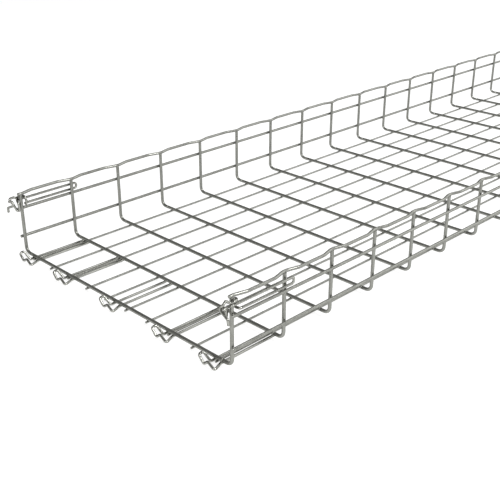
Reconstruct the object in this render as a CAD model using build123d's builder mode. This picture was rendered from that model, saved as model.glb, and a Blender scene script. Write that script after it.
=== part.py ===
from build123d import *
import math
import os

# Welded wire cable basket. X runs along it, Y across it, Z up; sizes in mm.
bays = 30                # bays between the first and the last cross wire
cross_pitch = 100.0      # cross wires, along the basket
floor_pitch = 50.0       # floor wires, across the basket
floor_count = 10         # floor wires
cross_d = 5.7            # cross wires, each bent up into two legs
floor_d = 3.5            # floor wires
side_d = 5.0             # side wires and top rails
clip_d = 4.0             # floor hooks and side couplers
wall_y = 252.5           # middle of a leg, from the middle of the basket
bend_r = 10.2            # middle of the bend between floor and wall
seam_gap = 10.0          # cross wires part from their legs this far outside the last floor wire
mid_z = 27.9             # middle side wire above the cross wires
high_z = 77.9            # upper side wire above the cross wires
rail_z = 105.2           # top rail above the cross wires
stub = 5.0               # wire ends past the first and last cross wire

# The top rail is waved: in on the legs, out between them.
wave_foot = 4.0          # half of the straight on a leg
wave_ramp = 20.0         # length of a ramp

# The floor hooks: a hairpin under the first two cross wires, with a raised loop in front.
hook_half = 6.65         # half of the space between the strands
hook_tail = 4.0          # strands end behind the second cross wire
hook_nose = 19.2         # the loop stands in front of the first cross wire
hook_rise = 13.0         # top of the loop above the strands
hook_dip = 1.8           # outer corner below the strands
hook_places = (225.0, 125.0, 0.0, -125.0, -225.0)

# The side couplers: a hairpin outside the legs, its ends a spring clip in front of them.
coupler_low = 85.0       # lower strand above the cross wires
coupler_high = 94.2      # upper strand above the cross wires
coupler_tail = 13.0      # closed end behind the second leg
coupler_nose = 18.6      # the clip stands in front of the first leg
clip_bend = 2.6          # tight bends of the hooks and the couplers
loop_bend = 4.0          # wider bends of their loops

cross_r = cross_d / 2
floor_r = floor_d / 2
side_r = side_d / 2
clip_r = clip_d / 2
clip_corner = clip_r / math.cos(math.pi / 6)
floor_z = -(cross_r + floor_r)
side_y = wall_y + cross_r + side_r
seam_y = (floor_count - 1) / 2 * floor_pitch + seam_gap
strand_z = -(cross_r + clip_corner)
beside_leg = cross_r + clip_corner + 0.2
mesh_length = bays * cross_pitch
middle = (mesh_length + stub - hook_nose - clip_r) / 2
up = hook_dip + clip_r - strand_z
cross_x = [i * cross_pitch - middle for i in range(bays + 1)]
floor_y = [(j - (floor_count - 1) / 2) * floor_pitch for j in range(floor_count)]


def bar(radius, turn=0):
    # six-sided outline drawn round a wire
    return RegularPolygon(radius, 6, major_radius=False, rotation=turn)


def bent(corners, bends):
    # middle line of a bent wire; one chord that touches the arc stands for each bend
    points = [Vector(*corner) for corner in corners]
    line = [points[0]]
    for before, here, after, radius in zip(points, points[1:], points[2:], bends):
        back = (before - here).normalized()
        ahead = (after - here).normalized()
        turn = math.pi - math.radians(back.get_angle(ahead))
        reach = radius * (math.tan(turn / 2) - math.tan(turn / 4))
        line.append(here + back * reach)
        line.append(here + ahead * reach)
    line.append(points[-1])
    return line


def wave(side):
    # corners of a top rail, one bay after the other
    points = [(-stub - middle, side * wall_y)]
    for start in cross_x[:-1]:
        end = start + cross_pitch
        points.append((start + wave_foot, side * wall_y))
        points.append((start + wave_foot + wave_ramp, side * side_y))
        points.append((end - wave_foot - wave_ramp, side * side_y))
        points.append((end - wave_foot, side * wall_y))
    points.append((mesh_length + stub - middle, side * wall_y))
    return points


def keep(piece, label):
    piece.part.label = label
    export_step(piece.part, "parts/" + label + ".step")


os.makedirs("parts", exist_ok=True)

# Floor: the straight middles of the cross wires, welded on the floor wires.
with BuildPart() as floor_mesh:
    with BuildSketch(Plane.XZ):
        with Locations(*[(x, up) for x in cross_x]):
            bar(cross_r)
    extrude(amount=seam_y, both=True)
    with BuildSketch(Plane.YZ.offset(-stub - middle)):
        with Locations(*[(y, up + floor_z) for y in floor_y]):
            bar(floor_r)
    extrude(amount=mesh_length + 2 * stub)
keep(floor_mesh, "floor_mesh")

# Walls: the bent-up legs, two straight side wires outside them and the waved rail on top.
for side, label in ((1, "left_side_mesh"), (-1, "right_side_mesh")):
    foot = (0, side * seam_y, up)
    knee = (0, side * wall_y, up)
    head = (0, side * wall_y, up + rail_z - side_r)
    with BuildPart() as leg:
        with BuildLine() as leg_line:
            Polyline(*bent((foot, knee, head), [bend_r]))
        with BuildSketch(Plane(origin=foot, x_dir=(1, 0, 0), z_dir=(0, side, 0))):
            bar(cross_r)
        sweep(path=leg_line.line, transition=Transition.RIGHT)
    with BuildPart() as wall:
        with Locations(*[(x, 0, 0) for x in cross_x]):
            add(leg.part)
        with BuildSketch(Plane.YZ.offset(-stub - middle)):
            with Locations((side * side_y, up + mid_z), (side * side_y, up + high_z)):
                bar(side_r, 30)
        extrude(amount=mesh_length + 2 * stub)
        with BuildLine(Plane.XY.offset(up + rail_z)) as rail:
            Polyline(*wave(side))
        with BuildSketch(Plane(origin=rail.line @ 0, x_dir=(0, 1, 0), z_dir=(1, 0, 0))):
            bar(side_r)
        sweep(path=rail.line, transition=Transition.RIGHT)
    keep(wall, label)

# Floor hooks, all alike. A row is a corner, its height from the strands, and the radius of its bend.
hook_rows = (
    (cross_pitch + hook_tail, hook_half, 0.0, 0.0),
    (-7.5, hook_half, 0.0, clip_bend),               # strand turns up and aside
    (-11.5, 17.0, hook_rise, loop_bend),             # top of the loop, side of the basket
    (-18.8, 18.2, hook_rise - 2.0, loop_bend),       # top of the loop, far side of the slot
    (-hook_nose, 7.0, 0.2, clip_bend),               # foot of the outer side
    (-15.2, 4.6, 4.0, clip_bend),                    # step that carries the next basket's wire
    (-17.5, -11.8, -hook_dip, clip_bend),            # outer corner
    (-2.0, -hook_half, 0.0, clip_bend),
    (cross_pitch + hook_tail, -hook_half, 0.0, 0.0),
)
hook_bends = [row[3] for row in hook_rows[1:-1]]
for number, place in enumerate(hook_places, 1):
    with BuildPart() as hook:
        with BuildLine() as hook_line:
            corners = [(x - middle, y + place, z + strand_z + up) for x, y, z, bend in hook_rows]
            Polyline(*bent(corners, hook_bends))
        with BuildSketch(Plane(origin=corners[0], x_dir=(0, 1, 0), z_dir=(-1, 0, 0))):
            bar(clip_r)
        sweep(path=hook_line.line, transition=Transition.RIGHT)
    keep(hook, "floor_hook_" + str(number))

# Side couplers, a mirrored pair. A row is a corner, outward from the middle of a leg, and its bend.
coupler_back = cross_pitch + coupler_tail
coupler_rows = (
    (-19.7, 6.5, 94.2, 0.0),                                 # short cut end
    (-14.8, 4.9, 95.0, clip_bend),
    (-5.2, -5.2, 64.0, clip_bend),                           # narrow turn in front of the leg
    (-6.4, -2.0, 91.0, clip_bend),
    (-4.6, beside_leg, coupler_high, clip_bend),             # upper strand, past the outside of the legs
    (coupler_back, beside_leg, coupler_high, loop_bend),
    (coupler_back, beside_leg, coupler_low, loop_bend),      # closed end
    (10.0, beside_leg, coupler_low, clip_bend),              # lower strand turns in behind the first leg
    (7.6, -2.5, coupler_low + 0.5, loop_bend),
    (7.8, -4.4, 92.5, loop_bend),                            # eye on the inside
    (7.4, -1.0, 99.0, loop_bend),
    (6.2, 3.6, 99.4, loop_bend),
    (0.0, 6.4, 99.3, loop_bend),                             # comes forward round the leg
    (-6.2, 2.8, 98.3, clip_bend),
    (-11.2, 1.0, 102.0, clip_bend),                          # arch under the front of the rail
    (-coupler_nose - 0.9, 4.5, 100.2, clip_bend),
    (-16.5, -6.0, 90.5, clip_bend),                          # spring bar, down to the inside
    (-coupler_nose, 12.3, 82.0, clip_bend),                  # and across to the outside
    (-coupler_nose + 0.7, 13.0, 73.8, 0.0),                  # long end, turned down
)
coupler_bends = [row[3] for row in coupler_rows[1:-1]]
for side, label in ((1, "side_coupler_left"), (-1, "side_coupler_right")):
    with BuildPart() as coupler:
        with BuildLine() as coupler_line:
            corners = [(x - middle, side * (wall_y + out), z + up) for x, out, z, bend in coupler_rows]
            Polyline(*bent(corners, coupler_bends))
        with BuildSketch(Plane(origin=coupler_line.line @ 0, z_dir=coupler_line.line % 0)):
            bar(clip_r)
        sweep(path=coupler_line.line, transition=Transition.RIGHT)
    keep(coupler, label)
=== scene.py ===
from itertools import accumulate

import bpy
import numpy as np
from mathutils import Matrix, Vector


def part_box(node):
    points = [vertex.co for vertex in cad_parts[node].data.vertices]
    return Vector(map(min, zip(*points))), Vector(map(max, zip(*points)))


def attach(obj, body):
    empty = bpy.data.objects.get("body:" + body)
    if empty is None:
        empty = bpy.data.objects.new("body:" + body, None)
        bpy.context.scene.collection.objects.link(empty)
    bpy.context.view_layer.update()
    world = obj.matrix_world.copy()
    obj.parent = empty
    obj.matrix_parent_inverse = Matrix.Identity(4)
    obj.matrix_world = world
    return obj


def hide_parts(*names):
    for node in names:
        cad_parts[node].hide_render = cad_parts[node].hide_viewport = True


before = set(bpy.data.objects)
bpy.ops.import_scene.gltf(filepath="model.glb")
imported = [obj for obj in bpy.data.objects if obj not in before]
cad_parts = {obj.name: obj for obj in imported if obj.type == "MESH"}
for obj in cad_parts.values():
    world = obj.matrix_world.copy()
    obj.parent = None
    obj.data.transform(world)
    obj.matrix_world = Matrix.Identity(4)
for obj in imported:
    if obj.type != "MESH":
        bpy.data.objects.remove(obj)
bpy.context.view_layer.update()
scene = bpy.context.scene
print("frame loaded,", len(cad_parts), "nodes")

# Sizes are in millimetres, in the part's own frame. wirePiece turns them into metres.
millimetre = 0.001
basket = dict(
    bays=30, pitch=100.0,                # cross wires along the basket
    floorPitch=50.0, floorCount=10,      # floor wires across it
    crossRadius=2.85, floorRadius=1.75, sideRadius=2.5, clipRadius=2.0,
    wallY=252.5, bendRadius=10.2,        # middle of a leg, and of the bend at its foot
    seamGap=10.0,                        # a leg starts this far outside the last floor wire
    midZ=27.9, highZ=77.9, railZ=105.2,  # side wires and rail above the cross wires
    stub=5.0, cutEdge=0.35,              # wire ends, and the bevel left by the shear
)
# What the hooks and the couplers share: tight and wide bends, and welds a little off the mesh wire.
clip = dict(bend=2.6, loop=4.0, sides=16, bendSteps=10, weldGap=0.15)
# A weld's zone of duller burned zinc, painted darker as contact shade where the wires cross, and the
# stations that it fades over, which keep off the wire's ends, then the bead squeezed out of it, with
# rings from minus to plus its tilt in radians.
weld = dict(reach=7.0, stations=5, endGap=0.5, sides=9, rings=6, tilt=1.35, growth=(0.85, 1.12))

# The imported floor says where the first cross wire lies, to a thousandth of a millimetre.
floorLow, floorHigh = np.array(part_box("floor_mesh")) / millimetre
middle = round(-floorLow[0] - basket["stub"], 3)     # it lies this far behind the part's origin
up = round(floorHigh[2] - basket["crossRadius"], 3)  # and its middle this far above the ground
clipCorner = round(basket["clipRadius"] / np.cos(np.pi / 6), 3)  # corner of the CAD's six-sided wire
crossX = np.arange(basket["bays"] + 1) * basket["pitch"] - middle
floorY = (np.arange(basket["floorCount"]) - (basket["floorCount"] - 1) / 2) * basket["floorPitch"]
seamY = floorY[-1] + basket["seamGap"]
sideY = basket["wallY"] + basket["crossRadius"] + basket["sideRadius"]
xDir, yDir, zDir = np.eye(3)
rng = np.random.default_rng(7)


def unit(v):
    return v / np.linalg.norm(v, axis=-1, keepdims=True)


# Straight runs with an arc in each corner: centre + spoke * cos(t) + heading * radius * sin(t),
# t from zero to the angle of the bend. The radius is one for all corners, or one for each.
def bentPath(corners, radius, steps):
    p = np.asarray(corners, float)
    radius = np.broadcast_to(np.asarray(radius, float), len(p) - 2)[:, None]
    back, ahead = unit(p[:-2] - p[1:-1]), unit(p[2:] - p[1:-1])
    half = np.arccos(np.clip((back * ahead).sum(1, keepdims=True), -1, 1)) / 2
    centre = p[1:-1] + unit(back + ahead) * (radius / np.sin(half))
    spoke = p[1:-1] + back * (radius / np.tan(half)) - centre
    heading = -back * radius
    t = ((np.pi - 2 * half) * np.linspace(0, 1, steps + 1))[..., None]
    arcs = centre[:, None] + spoke[:, None] * np.cos(t) + heading[:, None] * np.sin(t)
    return np.vstack([p[:1], arcs.reshape(-1, 3), p[-1:]])


# Stations on a straight wire: its two ends, and a few round every weld, for the burned zinc and the
# painted contact shade round it to fade over.
def straightStations(start, end, welds):
    fade = np.linspace(-1, 1, weld["stations"]) * weld["reach"]
    near = np.add.outer(np.asarray(welds, float), fade).ravel()
    near = near[(near > start + weld["endGap"]) & (near < end - weld["endGap"])]
    return np.unique(np.concatenate([[start], near, [end]]).round(3))


# A straight middle line: start + station * direction.
def straightLine(stations, direction, start):
    return start + stations[:, None] * direction


# A round wire: at every station of the path a circle, radius * (normal * cos(a) + binormal * sin(a)).
# The normal is carried from station to station, less its part along the new heading.
# With a cut edge, the first and last circles are drawn in by that much.
def roundWire(path, radius, sides, firstNormal, cutEdge=0.0):
    p = np.asarray(path, float)
    size = np.full(len(p), radius)
    if cutEdge:
        first = p[0] + unit(p[1] - p[0]) * cutEdge
        last = p[-1] - unit(p[-1] - p[-2]) * cutEdge
        p = np.vstack([p[:1], first, p[1:-1], last, p[-1:]])
        size = np.pad(np.full(len(p) - 2, radius), 1, constant_values=radius - cutEdge)
    step = unit(np.diff(p, axis=0))
    heading = unit(np.vstack([step[:1], step[:-1] + step[1:], step[-1:]]))
    carried = accumulate(heading, lambda n, h: unit(n - h * (n @ h)), initial=firstNormal)
    normal = np.array(list(carried))[1:]
    binormal = np.cross(heading, normal)
    a = np.linspace(0, 2 * np.pi, sides, endpoint=False)[:, None]
    circle = normal[:, None] * np.cos(a) + binormal[:, None] * np.sin(a)
    along = np.concatenate([[0], np.cumsum(np.linalg.norm(np.diff(p, axis=0), axis=1))])
    return p[:, None] + circle * size[:, None, None], along


# Copies of a tube: tube + step * direction for each step.
def repeated(tube, steps, direction):
    return tube + steps[:, None, None, None] * direction


# Every crossing of the given places, x running fastest and z slowest.
def weldGrid(x, y, z):
    gridZ, gridY, gridX = np.meshgrid(z, y, x, indexing="ij")
    return np.stack([gridX, gridY, gridZ], -1).reshape(-1, 3)


# A weld's bead is a flat drop: cos(b) * (reach[0] * cos(a), reach[1] * sin(a)) in the plane of contact
# and reach[2] * sin(b) across it, each one a little larger or smaller than the next.
def weldBeads(centres, axes, reach):
    a = np.linspace(0, 2 * np.pi, weld["sides"], endpoint=False)[:, None]
    along = np.linspace(-weld["tilt"], weld["tilt"], weld["rings"])
    b = along[:, None, None]
    flat = np.cos(b) * (axes[0] * np.cos(a) * reach[0] + axes[1] * np.sin(a) * reach[1])
    drop = flat + np.sin(b) * axes[2] * reach[2]
    grow = rng.uniform(*weld["growth"], (len(centres), 1, 1, 1))
    return centres[:, None, None] + drop * grow, along


# Distance of each point to its nearest weld, worked through a block of points at a time.
def nearestWeld(points, welds, blockSize=4000):
    blocks = np.array_split(points, max(1, len(points) // blockSize))
    return np.concatenate([np.linalg.norm(block[:, None] - welds, axis=2).min(1) for block in blocks])


# Puts wires and beads into one mesh. Every grid is copies x stations x sides, closed round and capped
# at both ends. The UV map holds the share of a turn and the length along the wire in metres.
def wirePiece(name, node, grids, welds, material):
    points, faces, uvs, smooth, base = [], [], [], [], 0
    for grid, along in grids:
        copies, stations, sides = grid.shape[:3]
        index = base + np.arange(copies * stations * sides).reshape(copies, stations, sides)
        turned = np.roll(index, -1, axis=2)
        quads = np.stack([index[:, :-1], turned[:, :-1], turned[:, 1:], index[:, 1:]], -1).reshape(-1, 4)
        caps = np.concatenate([index[:, 0, ::-1], index[:, -1]])
        faces += quads.tolist() + caps.tolist()
        turn, length = np.meshgrid(np.arange(sides) / sides, along * millimetre)
        nextTurn = turn + 1 / sides
        corners = [(turn[:-1], length[:-1]), (nextTurn[:-1], length[:-1]),
                   (nextTurn[1:], length[1:]), (turn[1:], length[1:])]
        oneCopy = np.stack([np.stack(corner, -1) for corner in corners], 2).reshape(-1, 2)
        uvs += [np.tile(oneCopy, (copies, 1)), np.tile((0.5, 0.0), (caps.size, 1))]
        smooth += [np.ones(len(quads), bool), np.zeros(len(caps), bool)]
        points.append(grid.reshape(-1, 3))
        base += index.size
    points = np.vstack(points)
    # Nearness to a weld, 1 at the weld: it masks the duller burned zinc and the painted contact shade
    # there.
    near = np.clip(1 - nearestWeld(points, welds) / weld["reach"], 0, 1)
    mesh = bpy.data.meshes.new(name)
    mesh.from_pydata((points * millimetre).tolist(), [], faces)
    mesh.uv_layers.new(name="wireUV").data.foreach_set("uv", np.vstack(uvs).astype(np.float32).ravel())
    mesh.polygons.foreach_set("use_smooth", np.concatenate(smooth))
    mesh.attributes.new("weldNear", "FLOAT", "POINT").data.foreach_set("value", near.astype(np.float32))
    mesh.materials.append(material)
    mesh.update()
    piece = bpy.data.objects.new(name, mesh)
    scene.collection.objects.link(piece)
    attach(piece, "root")
    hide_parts(node)
    print(name, len(mesh.polygons), "faces")


def newGroup(name, inputs, outputs):
    group = bpy.data.node_groups.new(name, "ShaderNodeTree")
    for inOut, labels in (("INPUT", inputs), ("OUTPUT", outputs)):
        for label in labels:
            kind = "NodeSocketVector" if label == "Vector" else "NodeSocketFloat"
            group.interface.new_socket(name=label, in_out=inOut, socket_type=kind)
    return group, group.nodes.new("NodeGroupInput"), group.nodes.new("NodeGroupOutput")


def addNode(tree, kind, values=None, **settings):
    node = tree.nodes.new(kind)
    for key, value in settings.items():
        setattr(node, key, value)
    for key, value in (values or {}).items():
        node.inputs[key].default_value = value
    return node


# Zinc cloud: broad patches and a fine grain of the coating, both from noise on the given coordinates.
def makeZincCloud():
    scales = ["Patch Scale", "Grain Scale"]
    group, given, result = newGroup("zincCloud", ["Vector"] + scales, ["Patch", "Grain"])
    link = group.links.new
    patch = addNode(group, "ShaderNodeTexNoise", {"Detail": 4.0, "Roughness": 0.6})
    grain = addNode(group, "ShaderNodeTexNoise", {"Detail": 2.0, "Roughness": 0.5})
    spread = addNode(group, "ShaderNodeMapRange", {"From Min": 0.32, "From Max": 0.68})
    for noise, scale in zip((patch, grain), scales):
        link(given.outputs["Vector"], noise.inputs["Vector"])
        link(given.outputs[scale], noise.inputs["Scale"])
    link(patch.outputs["Fac"], spread.inputs["Value"])
    link(spread.outputs["Result"], result.inputs["Patch"])
    link(grain.outputs["Fac"], result.inputs["Grain"])
    return group


# Drawing lines: noise stretched along the wire, from the turn and length in the UV map.
def makeDrawnLines():
    group, given, result = newGroup("drawnLines", ["Vector", "Lines", "Run"], ["Line"])
    link = group.links.new
    parts = addNode(group, "ShaderNodeSeparateXYZ")
    joined = addNode(group, "ShaderNodeCombineXYZ")
    noise = addNode(group, "ShaderNodeTexNoise", {"Scale": 1.0, "Detail": 3.0, "Roughness": 0.65})
    link(given.outputs["Vector"], parts.inputs["Vector"])
    for axis, scale in (("X", "Lines"), ("Y", "Run")):
        scaled = addNode(group, "ShaderNodeMath", operation="MULTIPLY")
        link(parts.outputs[axis], scaled.inputs[0])
        link(given.outputs[scale], scaled.inputs[1])
        link(scaled.outputs["Value"], joined.inputs[axis])
    link(joined.outputs["Vector"], noise.inputs["Vector"])
    link(noise.outputs["Fac"], result.inputs["Line"])
    return group


# Weld zone mask, for duller burned zinc and painted contact shade where the wires cross: how near the weld
# is, broken up by the grain.
def makeWeldBurnAndShade():
    group, given, result = newGroup("weldBurnAndShade", ["Near", "Grain", "Strength"], ["Mask"])
    link = group.links.new
    fade = addNode(group, "ShaderNodeMapRange", {"From Min": 0.1, "From Max": 0.95},
                   interpolation_type="SMOOTHSTEP")
    broken = addNode(group, "ShaderNodeMapRange", {"From Min": 0.25, "From Max": 0.7, "To Min": 0.45})
    both = addNode(group, "ShaderNodeMath", operation="MULTIPLY")
    amount = addNode(group, "ShaderNodeMath", operation="MULTIPLY")
    link(given.outputs["Near"], fade.inputs["Value"])
    link(given.outputs["Grain"], broken.inputs["Value"])
    link(fade.outputs["Result"], both.inputs[0])
    link(broken.outputs["Result"], both.inputs[1])
    link(both.outputs["Value"], amount.inputs[0])
    link(given.outputs["Strength"], amount.inputs[1])
    link(amount.outputs["Value"], result.inputs["Mask"])
    return group


zincCloud, drawnLines, weldBurnAndShade = makeZincCloud(), makeDrawnLines(), makeWeldBurnAndShade()

# Finishes. The edge tint is how bright the metal stays where it is seen at a slant.
# The weld tone darkens the zinc round each weld: partly burned zinc, partly painted contact shade where
# the wires cross.
meshLook = dict(
    darkZinc=(0.26, 0.263, 0.242, 1), lightZinc=(0.33, 0.334, 0.308, 1), weldBurnAndShadeZinc=(0.19, 0.19, 0.174, 1),
    metallic=0.9, edgeTint=(0.6, 0.6, 0.58, 1), roughness=(0.25, 0.36),
    patchScale=45.0, grainScale=900.0, weldBurnAndShade=0.45, relief=0.1)
hookLook = dict(
    darkZinc=(0.33, 0.333, 0.308, 1), lightZinc=(0.4, 0.404, 0.373, 1), weldBurnAndShadeZinc=(0.26, 0.262, 0.24, 1),
    metallic=1.0, edgeTint=(0.2, 0.2, 0.19, 1), roughness=(0.16, 0.25),
    patchScale=60.0, grainScale=1100.0, weldBurnAndShade=0.2, relief=0.08)
# Both share the drawing lines, as noise cells round the wire and to the metre of its length, with how far
# they shift the tone, the grain's share of the relief, its depth in metres, and a weld's added roughness.
wireLook = dict(lines=26.0, run=9.0, lineTone=0.12, grainRelief=0.6, reliefDepth=0.0004, weldRough=0.15)
mixFactor, mixFirst, mixSecond, mixResult = 0, 6, 7, 2  # sockets of a Mix node set to colours


def zincWire(name, look):
    material = bpy.data.materials.new(name)
    material.use_nodes = True
    tree = material.node_tree
    link = tree.links.new
    shader = tree.nodes["Principled BSDF"]
    shader.inputs["Metallic"].default_value = look["metallic"]
    shader.inputs["Specular Tint"].default_value = look["edgeTint"]
    place = addNode(tree, "ShaderNodeTexCoord")
    wireUv = addNode(tree, "ShaderNodeUVMap", uv_map="wireUV")
    near = addNode(tree, "ShaderNodeAttribute", attribute_name="weldNear")
    cloudScales = {"Patch Scale": look["patchScale"], "Grain Scale": look["grainScale"]}
    lineScales = {"Lines": wireLook["lines"], "Run": wireLook["run"]}
    cloud = addNode(tree, "ShaderNodeGroup", cloudScales, node_tree=zincCloud)
    lines = addNode(tree, "ShaderNodeGroup", lineScales, node_tree=drawnLines)
    burnShade = addNode(tree, "ShaderNodeGroup", {"Strength": look["weldBurnAndShade"]}, node_tree=weldBurnAndShade)
    link(place.outputs["Object"], cloud.inputs["Vector"])
    link(wireUv.outputs["UV"], lines.inputs["Vector"])
    link(near.outputs["Fac"], burnShade.inputs["Near"])
    link(cloud.outputs["Grain"], burnShade.inputs["Grain"])
    # colour: dark to light zinc by patch, finely broken by the drawing lines, darker round the welds
    #     # for burned zinc and for painted contact shade where the wires cross
    shift = wireLook["lineTone"]
    streak = addNode(tree, "ShaderNodeMapRange",
                     {"From Min": 0.3, "From Max": 0.7, "To Min": -shift, "To Max": shift})
    shade = addNode(tree, "ShaderNodeMath", operation="ADD", use_clamp=True)
    tone = addNode(tree, "ShaderNodeMix", {mixFirst: look["darkZinc"], mixSecond: look["lightZinc"]},
                   data_type="RGBA")
    shadedWeldSpot = addNode(tree, "ShaderNodeMix", {mixSecond: look["weldBurnAndShadeZinc"]}, data_type="RGBA")
    link(lines.outputs["Line"], streak.inputs["Value"])
    link(cloud.outputs["Patch"], shade.inputs[0])
    link(streak.outputs["Result"], shade.inputs[1])
    link(shade.outputs["Value"], tone.inputs[mixFactor])
    link(burnShade.outputs["Mask"], shadedWeldSpot.inputs[mixFactor])
    link(tone.outputs[mixResult], shadedWeldSpot.inputs[mixFirst])
    link(shadedWeldSpot.outputs[mixResult], shader.inputs["Base Color"])
    # roughness: rougher where the patch is pale and round the welds
    smoothest, roughest = look["roughness"]
    rough = addNode(tree, "ShaderNodeMapRange", {"To Min": smoothest, "To Max": roughest})
    rougher = addNode(tree, "ShaderNodeMath", {1: wireLook["weldRough"]}, operation="MULTIPLY_ADD")
    link(cloud.outputs["Patch"], rough.inputs["Value"])
    link(burnShade.outputs["Mask"], rougher.inputs[0])
    link(rough.outputs["Result"], rougher.inputs[2])
    link(rougher.outputs["Value"], shader.inputs["Roughness"])
    # relief: the lines and the grain of the coating
    height = addNode(tree, "ShaderNodeMath", {1: wireLook["grainRelief"]}, operation="MULTIPLY_ADD")
    bump = addNode(tree, "ShaderNodeBump",
                   {"Strength": look["relief"], "Distance": wireLook["reliefDepth"]})
    link(cloud.outputs["Grain"], height.inputs[0])
    link(lines.outputs["Line"], height.inputs[2])
    link(height.outputs["Value"], bump.inputs["Height"])
    link(bump.outputs["Normal"], shader.inputs["Normal"])
    return material


meshWire = zincWire("meshWire", meshLook)
hookWire = zincWire("hookWire", hookLook)
print("finishes made")

lengthStations = straightStations(crossX[0] - basket["stub"], crossX[-1] + basket["stub"], crossX)

# Floor: the straight middles of the cross wires, resting on the floor wires and welded to them.
floorDetail = dict(crossSides=16, floorSides=12, beadReach=(2.3, 1.7, 0.8))


def makeFloor():
    r, f = basket["crossRadius"], basket["floorRadius"]
    line = straightLine(straightStations(-seamY, seamY, floorY), yDir, (0, 0, up))
    tube, along = roundWire(line, r, floorDetail["crossSides"], xDir)
    crossWires = repeated(tube, crossX, xDir), along - seamY
    line = straightLine(lengthStations, xDir, (0, 0, up - r - f))
    tube, along = roundWire(line, f, floorDetail["floorSides"], zDir, basket["cutEdge"])
    floorWires = repeated(tube, floorY, yDir), along
    welds = weldGrid(crossX, floorY, up - r)
    beads = weldBeads(welds, (xDir, yDir, zDir), floorDetail["beadReach"])
    grids = [crossWires, floorWires, beads]
    wirePiece("floor_mesh_wires", "floor_mesh", grids, welds, meshWire)


# A side: the legs bent up out of the floor, two straight wires outside them, and the rail on their heads,
# which waves in to every leg and out between the legs.
sideDetail = dict(legSides=16, kneeSteps=10, kneeGap=0.6, wireSides=14,
                  headSink=0.4,  # a leg melts into the rail, by this share of the rail's radius
                  waveFoot=4.0, waveRamp=20.0, waveRadius=14.0, waveSteps=4,
                  beadReach=(2.2, 2.2, 0.9), headReach=(3.1, 2.6, 1.0))


# A leg runs out from the seam, round the knee and up to the rail, y mirrored on the right side.
def makeLeg(side):
    wallY, bend, s = basket["wallY"], basket["bendRadius"], basket["sideRadius"]
    head = basket["railZ"] - s * (1 - sideDetail["headSink"])
    knee = bentPath([(0, seamY, 0), (0, wallY, 0), (0, wallY, head)], bend, sideDetail["kneeSteps"])
    touch = (basket["midZ"], basket["highZ"], basket["railZ"] - s)
    upright = straightStations(bend + sideDetail["kneeGap"], head, touch)[1:]
    line = np.vstack([knee[:-1], straightLine(upright, zDir, (0, wallY, 0))])
    line = (line + up * zDir) * (1, side, 1)
    if side < 0:
        line = line[::-1]  # so that the drawing lines run on from the floor
    tube, along = roundWire(line, basket["crossRadius"], sideDetail["legSides"], xDir)
    along = along + seamY if side > 0 else along - along[-1] - seamY
    return tube, along


# A rail lies at wallY + share * (sideY - wallY), the share 0 on the legs and 1 between them, with an arc
# in each corner of the wave.
def makeRail(side):
    wallY, pitch, stub = basket["wallY"], basket["pitch"], basket["stub"]
    foot = sideDetail["waveFoot"]
    ramp = foot + sideDetail["waveRamp"]
    wave = np.array([(foot, 0), (ramp, 1), (pitch - ramp, 1), (pitch - foot, 0)])
    bays = crossX[:-1, None, None] * (1, 0) + wave
    x, share = np.vstack([(crossX[0] - stub, 0), bays.reshape(-1, 2), (crossX[-1] + stub, 0)]).T
    y = side * (wallY + share * (sideY - wallY))
    line = np.stack([x, y, np.full_like(x, up + basket["railZ"])], 1)
    line = bentPath(line, sideDetail["waveRadius"], sideDetail["waveSteps"])
    return roundWire(line, basket["sideRadius"], sideDetail["wireSides"], zDir, basket["cutEdge"])


def makeSide(side, name, node):
    wallY, r, s = basket["wallY"], basket["crossRadius"], basket["sideRadius"]
    rows = np.array([basket["midZ"], basket["highZ"]])
    tube, along = makeLeg(side)
    legs = repeated(tube, crossX, xDir), along
    line = straightLine(lengthStations, xDir, (0, side * sideY, up))
    tube, along = roundWire(line, s, sideDetail["wireSides"], zDir, basket["cutEdge"])
    sideWires = repeated(tube, rows, zDir), along
    tube, along = makeRail(side)
    rail = tube[None], along
    welds = weldGrid(crossX, side * (wallY + r), rows + up)
    heads = weldGrid(crossX, side * wallY, up + basket["railZ"] - s)
    beads = weldBeads(welds, (xDir, zDir, -yDir), sideDetail["beadReach"])
    collars = weldBeads(heads, (xDir, yDir, zDir), sideDetail["headReach"])
    grids = [legs, sideWires, rail, beads, collars]
    wirePiece(name, node, grids, np.vstack([welds, heads]), meshWire)


# A hook or a coupler: one wire bent along its rows, with its welds to the mesh.
def clipPiece(name, node, line, welds, axes, beadReach):
    tube, along = roundWire(line, basket["clipRadius"], clip["sides"], zDir, basket["cutEdge"])
    beads = weldBeads(welds, axes, beadReach)
    wirePiece(name, node, [(tube[None], along), beads], welds, hookWire)


# A floor hook: a hairpin under the first two cross wires, its loop raised in front of them.
hook = dict(places=(225.0, 125.0, 0.0, -125.0, -225.0), half=6.65, tail=4.0, nose=19.2, rise=13.0, dip=1.8,
            beadReach=(1.9, 1.7, 0.75))


# A row is x from the first cross wire, y from the middle of the hook, the height above the strands
# and the radius of the bend.
def hookRows():
    back, half, rise = basket["pitch"] + hook["tail"], hook["half"], hook["rise"]
    bend, loop = clip["bend"], clip["loop"]
    return np.array([
        (back, half, 0.0, 0.0),
        (-7.5, half, 0.0, bend),              # strand turns up and aside
        (-11.5, 17.0, rise, loop),            # top of the loop, side of the basket
        (-18.8, 18.2, rise - 2.0, loop),      # top of the loop, far side of the slot
        (-hook["nose"], 7.0, 0.2, bend),      # foot of the outer side
        (-15.2, 4.6, 4.0, bend),              # step that carries the next basket's wire
        (-17.5, -11.8, -hook["dip"], bend),   # outer corner
        (-2.0, -half, 0.0, bend),
        (back, -half, 0.0, 0.0),
    ])


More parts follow.
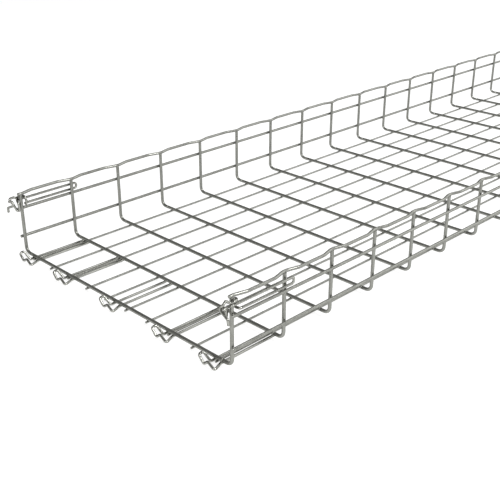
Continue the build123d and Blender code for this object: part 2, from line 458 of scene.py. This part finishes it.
def makeHook(number, place):
    rows = hookRows()
    underside = up - basket["crossRadius"]
    corners = rows[:, :3] + (-middle, place, underside - clipCorner)
    line = bentPath(corners, rows[1:-1, 3], clip["bendSteps"])
    strands = place + hook["half"] * np.array([1, -1])
    welds = weldGrid(crossX[:2], strands, underside - clip["weldGap"])
    clipPiece("floor_hook_wire_%d" % number, "floor_hook_%d" % number, line, welds,
              (xDir, yDir, zDir), hook["beadReach"])


# A side coupler: a hairpin along the outside of the first two legs, its two ends bent into a spring clip
# in front of them.
coupler = dict(low=85.0, high=94.2, tail=13.0, nose=18.6, legGap=0.2, beadReach=(1.7, 1.7, 0.6))


# A row is x from the first leg, the distance outward from the middle of the legs, the height above
# the cross wires and the radius of the bend.
def couplerRows():
    low, high, nose = coupler["low"], coupler["high"], coupler["nose"]
    back = basket["pitch"] + coupler["tail"]
    beside = basket["crossRadius"] + clipCorner + coupler["legGap"]
    bend, loop = clip["bend"], clip["loop"]
    return np.array([
        (-19.7, 6.5, 94.2, 0.0),              # short cut end
        (-14.8, 4.9, 95.0, bend),
        (-5.2, -5.2, 64.0, bend),             # narrow turn in front of the leg
        (-6.4, -2.0, 91.0, bend),
        (-4.6, beside, high, bend),           # upper strand, past the outside of the legs
        (back, beside, high, loop),
        (back, beside, low, loop),            # closed end
        (10.0, beside, low, bend),            # lower strand turns in behind the first leg
        (7.6, -2.5, low + 0.5, loop),
        (7.8, -4.4, 92.5, loop),              # eye on the inside
        (7.4, -1.0, 99.0, loop),
        (6.2, 3.6, 99.4, loop),
        (0.0, 6.4, 99.3, loop),               # comes forward round the leg
        (-6.2, 2.8, 98.3, bend),
        (-11.2, 1.0, 102.0, bend),            # arch under the front of the rail
        (-nose - 0.9, 4.5, 100.2, bend),
        (-16.5, -6.0, 90.5, bend),            # spring bar, down to the inside
        (-nose, 12.3, 82.0, bend),            # and across to the outside
        (-nose + 0.7, 13.0, 73.8, 0.0),       # long end, turned down
    ])


def makeCoupler(side, name, node):
    rows = couplerRows()
    line = bentPath(rows[:, :3], rows[1:-1, 3], clip["bendSteps"])
    line = (line + (-middle, basket["wallY"], up)) * (1, side, 1)
    y = side * (basket["wallY"] + basket["crossRadius"] + clip["weldGap"])
    low, high = up + coupler["low"], up + coupler["high"]
    welds = np.array([(crossX[0], y, high), (crossX[1], y, high), (crossX[1], y, low)])
    clipPiece(name, node, line, welds, (xDir, zDir, -yDir), coupler["beadReach"])


makeFloor()
makeSide(1, "left_side_wires", "left_side_mesh")
makeSide(-1, "right_side_wires", "right_side_mesh")
for number, place in enumerate(hook["places"], 1):
    makeHook(number, place)
makeCoupler(1, "side_coupler_wire_left", "side_coupler_left")
makeCoupler(-1, "side_coupler_wire_right", "side_coupler_right")

# Studio, in metres: a pale floor with a wall round it, a dim room and four lamps. The narrow spark lamp
# shines on the ramps of the rails, the front lamp in the loops of the hooks. The other two stand far along
# the basket, so the wires across it stay dark.
studio = dict(floorSize=60.0, wallHeight=5.0, room=0.28, white=(1, 1, 1, 1),
              paperTone=(0.45, 0.45, 0.45, 1), paperRough=0.9, paperLift=0.78)
lamps = dict(
    overheadLamp=dict(power=20.0, size=(2.4, 2.4), place=(1.2, 0.0, 2.9), target=(-1.2, 0.0, 0.05)),
    sparkLamp=dict(power=56.0, size=(0.8, 1.6), place=(-0.76, -1.98, 2.29), target=(-1.3, 0.1, 0.11)),
    frontLamp=dict(power=12.0, size=(1.2, 1.2), place=(-2.9, -1.4, 1.5), target=(-1.5, 0.0, 0.03)),
    softboxLamp=dict(power=48.0, size=(3.4, 2.6), place=(2.7, -1.9, 1.6), target=(-1.1, 0.0, 0.05)))


# White paper: it takes light and shadow, and glows for the camera and in reflections.
def makePaper():
    paper = bpy.data.materials.new("studioPaper")
    paper.use_nodes = True
    tree = paper.node_tree
    link = tree.links.new
    shader = tree.nodes["Principled BSDF"]
    shader.inputs["Base Color"].default_value = studio["paperTone"]
    shader.inputs["Roughness"].default_value = studio["paperRough"]
    shader.inputs["Emission Color"].default_value = studio["white"]
    path = addNode(tree, "ShaderNodeLightPath")
    seen = addNode(tree, "ShaderNodeMath", operation="MAXIMUM")
    anyRay = addNode(tree, "ShaderNodeMath", operation="MAXIMUM")
    lift = addNode(tree, "ShaderNodeMath", {1: studio["paperLift"]}, operation="MULTIPLY")
    link(path.outputs["Is Camera Ray"], seen.inputs[0])
    link(path.outputs["Is Glossy Ray"], seen.inputs[1])
    link(seen.outputs["Value"], anyRay.inputs[0])
    link(path.outputs["Is Transmission Ray"], anyRay.inputs[1])
    link(anyRay.outputs["Value"], lift.inputs[0])
    link(lift.outputs["Value"], shader.inputs["Emission Strength"])
    return paper


def stagePiece(name, points, faces, material):
    mesh = bpy.data.meshes.new(name)
    mesh.from_pydata(points, [], faces)
    mesh.materials.append(material)
    piece = bpy.data.objects.new(name, mesh)
    scene.collection.objects.link(piece)


def makeStudio():
    half, height = studio["floorSize"] / 2, studio["wallHeight"]
    paper = makePaper()
    rim = [(-half, -half), (half, -half), (half, half), (-half, half)]
    foot = [(x, y, 0) for x, y in rim]
    top = [(x, y, height) for x, y in rim]
    stagePiece("studioFloor", foot, [(0, 1, 2, 3)], paper)
    stagePiece("studioWall", foot + top, [(0, 4, 5, 1), (1, 5, 6, 2), (2, 6, 7, 3), (3, 7, 4, 0)], paper)
    world = bpy.data.worlds.new("studioRoom")
    scene.world = world
    world.use_nodes = True
    sky = world.node_tree.nodes["Background"]
    sky.inputs["Color"].default_value = studio["white"]
    sky.inputs["Strength"].default_value = studio["room"]


def aimed(direction):
    return direction.to_track_quat("-Z", "Y")


def areaLamp(name, lamp):
    data = bpy.data.lights.new(name, "AREA")
    data.shape = "RECTANGLE"
    data.energy = lamp["power"]
    data.size, data.size_y = lamp["size"]
    placed = bpy.data.objects.new(name, data)
    placed.location = lamp["place"]
    placed.rotation_euler = aimed(Vector(lamp["target"]) - Vector(lamp["place"])).to_euler()
    scene.collection.objects.link(placed)


makeStudio()
for name, lamp in lamps.items():
    areaLamp(name, lamp)

# Camera, at the photograph's place and angle.
view = dict(eye=(-2.16243, -0.95635, 0.63459), forward=(0.64035, 0.64012, -0.42450),
            lens=61.887, sensor=36.0, nearest=0.05, farthest=100.0)
camData = bpy.data.cameras.new("photoCamera")
camData.lens, camData.sensor_width = view["lens"], view["sensor"]
camData.clip_start, camData.clip_end = view["nearest"], view["farthest"]
camera = bpy.data.objects.new("photoCamera", camData)
camera.matrix_world = Matrix.Translation(view["eye"]) @ aimed(Vector(view["forward"])).to_matrix().to_4x4()
scene.collection.objects.link(camera)
scene.camera = camera
scene.view_settings.view_transform = "Standard"
print("studio and camera set")
